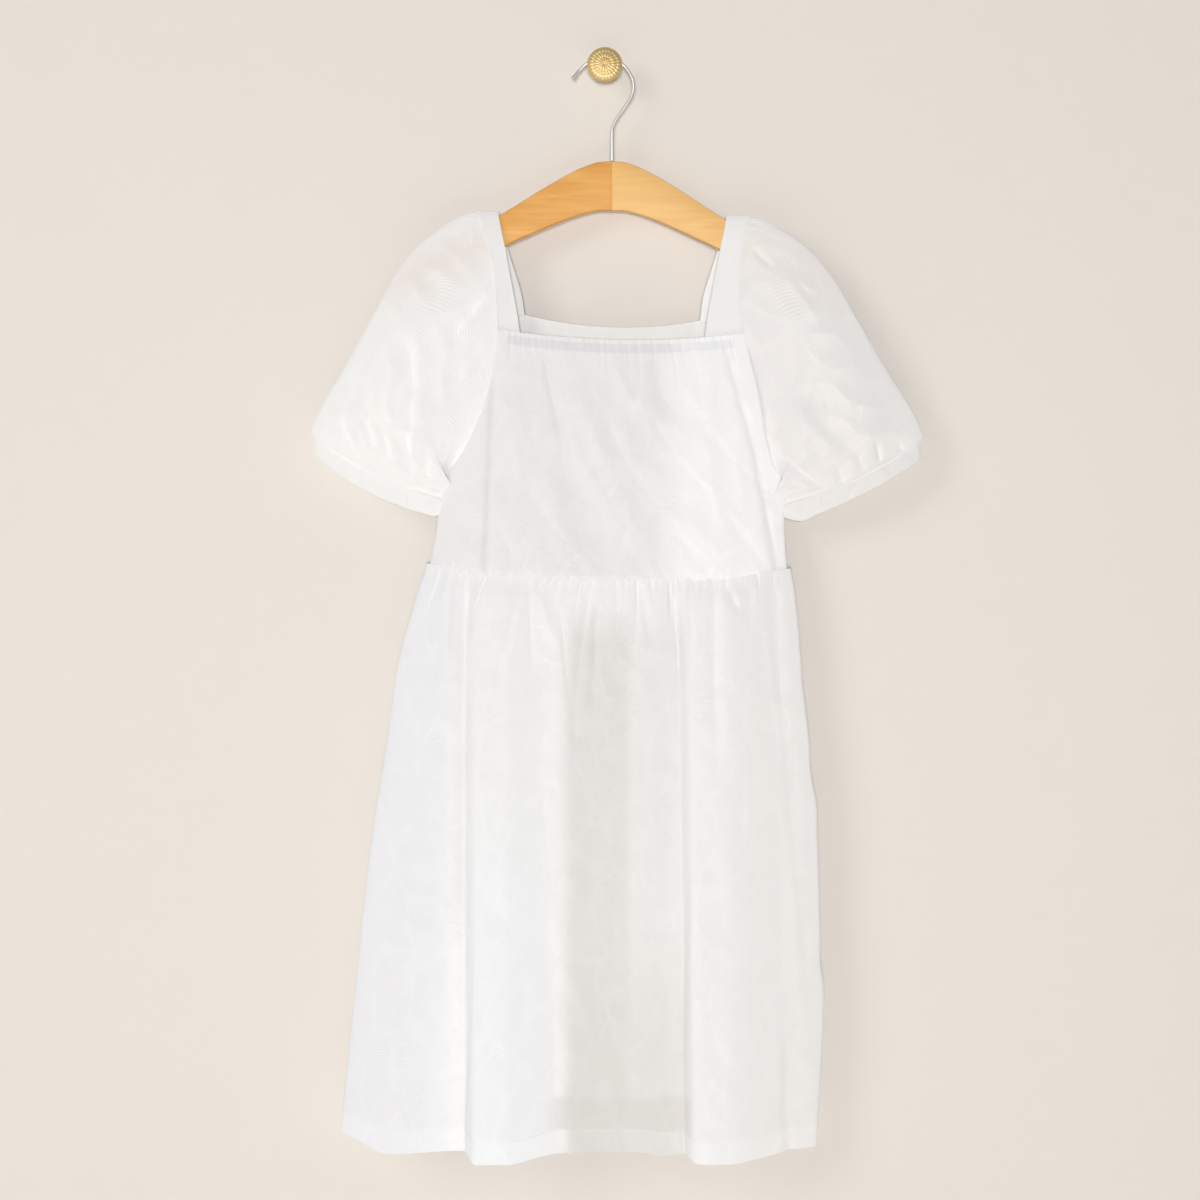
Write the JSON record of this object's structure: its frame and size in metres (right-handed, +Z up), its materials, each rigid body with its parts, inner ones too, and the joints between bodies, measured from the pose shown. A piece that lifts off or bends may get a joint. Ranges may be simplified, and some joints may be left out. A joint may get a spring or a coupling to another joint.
{
  "type": "peasant dress",
  "caption": "Short-sleeved peasant dress with a square gathered neck, puff sleeves and a gathered skirt, on a wooden hanger hung from a wall knob.",
  "frame": {"origin": "centre of the wall knob's flat back face, where it meets the wall", "axes": "+X to the viewer's right, +Y into the wall, +Z up; the dress faces -Y"},
  "size_m": [0.545, 0.1039, 0.9902],
  "materials": {
    "wall_knob": "satin",
    "hanger_hook": "polished",
    "hanger_arm_left": "satin",
    "hanger_arm_right": "satin",
    "bodice_front": "matte",
    "bodice_back": "matte",
    "neck_elastic": "matte",
    "strap_left": "matte",
    "strap_right": "matte",
    "sleeve_left": "matte",
    "sleeve_right": "matte",
    "cuff_left": "matte",
    "cuff_right": "matte",
    "skirt_front": "matte",
    "skirt_back": "matte",
    "skirt_lining": "matte"
  },
  "bodies": {
    "root": {"wall_knob": "wall_knob", "hanger_hook": "hanger_hook", "hanger_arm_left": "hanger_arm_left", "hanger_arm_right": "hanger_arm_right", "bodice_front": "bodice_front", "bodice_back": "bodice_back", "neck_elastic": "neck_elastic", "strap_left": "strap_left", "strap_right": "strap_right", "sleeve_left": "sleeve_left", "sleeve_right": "sleeve_right", "cuff_left": "cuff_left", "cuff_right": "cuff_right", "skirt_front": "skirt_front", "skirt_back": "skirt_back", "skirt_lining": "skirt_lining"}
  },
  "joints": []
}
